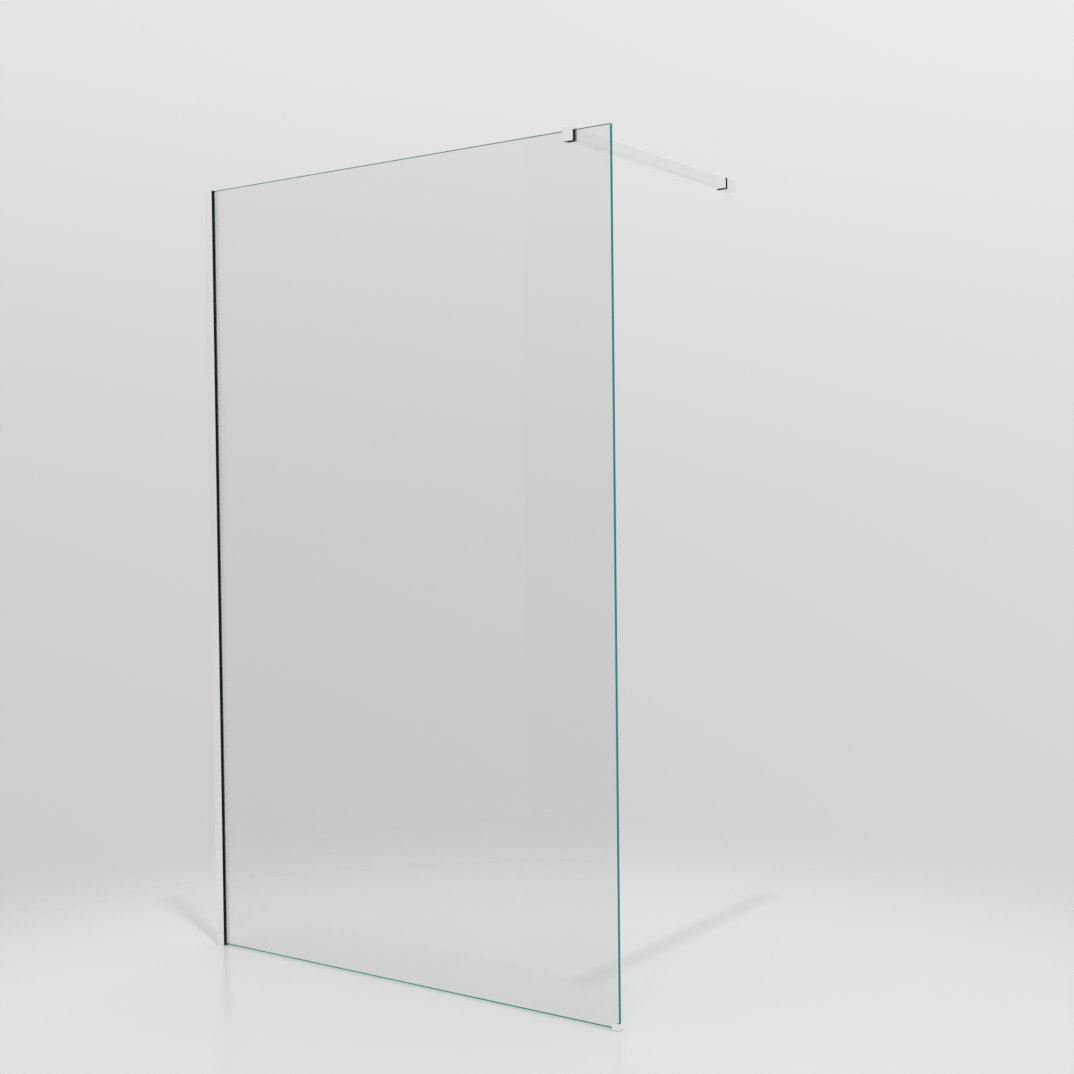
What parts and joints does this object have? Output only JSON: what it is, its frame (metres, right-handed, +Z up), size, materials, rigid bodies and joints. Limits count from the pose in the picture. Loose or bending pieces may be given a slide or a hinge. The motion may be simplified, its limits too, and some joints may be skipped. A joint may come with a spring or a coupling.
{
  "type": "walk-in shower screen",
  "caption": "Frameless glass walk-in shower screen in a slim wall channel, with a clamped square support arm to the back wall and a small floor foot.",
  "frame": {"origin": "where the wall channel's back meets the side wall and the floor, at the middle of the glass's thickness", "axes": "+X from the side wall along the glass to its free edge, +Y from the glass to the back wall that the arm reaches, +Z up"},
  "size_m": [1.1978, 0.7295, 1.9057],
  "materials": {
    "chrome": "polished chrome plate",
    "glass": "clear toughened glass with polished teal edges",
    "black_rubber": "matt black extruded rubber",
    "clear_rubber": "translucent soft vinyl",
    "packer_plastic": "moulded nylon",
    "foot_foam": "bonding foam",
    "zinc_plated_steel": "bright zinc plate",
    "black_steel": "black oxide screw steel",
    "cast_zinc": "bare die-cast metal"
  },
  "bodies": {
    "wall_frame": {"wall_channel": "chrome", "channel_cap": "chrome", "setting_block": "packer_plastic"},
    "glass_unit": {"glass_profile": "chrome", "glass_packers": "packer_plastic", "front_gasket": "black_rubber", "rear_gasket": "clear_rubber", "side_screws": "zinc_plated_steel", "side_screw_caps": "chrome", "glass_panel": "glass", "foot_shoe": "chrome", "foot_liner": "clear_rubber", "foot_pad": "foot_foam"},
    "arm": {"clamp_body": "chrome", "clamp_liner": "black_rubber", "support_bar": "chrome", "bar_end_plug": "cast_zinc"},
    "pressure_foot": {"pressure_plate": "zinc_plated_steel", "pressure_pad": "clear_rubber"},
    "clamp_screw": {"clamp_screw": "black_steel"},
    "bar_screw": {"bar_screw": "black_steel"},
    "wall_bracket": {"bracket_sleeve": "chrome", "bracket_collar": "black_rubber", "bracket_base": "cast_zinc"},
    "reach_screw": {"reach_screw": "black_steel"},
    "base_screw": {"base_screw": "black_steel"}
  },
  "joints": [
    {"name": "panel_adjust", "type": "slide", "parent": "wall_frame", "child": "glass_unit", "axis": [1, 0, 0], "range_m": [0, 0.01]},
    {"name": "clamp_position", "type": "slide", "parent": "glass_unit", "child": "arm", "axis": [1, 0, 0], "range_m": [-0.5, 0.08]},
    {"name": "clamp_grip", "type": "slide", "parent": "arm", "child": "pressure_foot", "axis": [0, 1, 0], "range_m": [0, 0.0025]},
    {"name": "clamp_screw_turn", "type": "hinge", "parent": "pressure_foot", "child": "clamp_screw", "pos_m": [1.095, 0.007, 1.892], "axis": [0, 1, 0], "range_deg": [0, 900]},
    {"name": "bar_screw_turn", "type": "hinge", "parent": "arm", "child": "bar_screw", "pos_m": [1.095, 0.03, 1.8804], "axis": [0, 0, 1], "range_deg": [-720, 0]},
    {"name": "arm_reach", "type": "slide", "parent": "arm", "child": "wall_bracket", "axis": [0, 1, 0], "range_m": [-0.0015, 0.008]},
    {"name": "reach_screw_turn", "type": "hinge", "parent": "wall_bracket", "child": "reach_screw", "pos_m": [1.095, 0.692, 1.8785], "axis": [0, 0, 1], "range_deg": [-720, 0]},
    {"name": "base_screw_turn", "type": "hinge", "parent": "wall_bracket", "child": "base_screw", "pos_m": [1.095, 0.7115, 1.8785], "axis": [0, 0, 1], "range_deg": [-720, 0]}
  ],
  "couplings": [
    {"joint": "clamp_screw_turn", "follows": "clamp_grip", "rad_per_m": 6283.2}
  ]
}
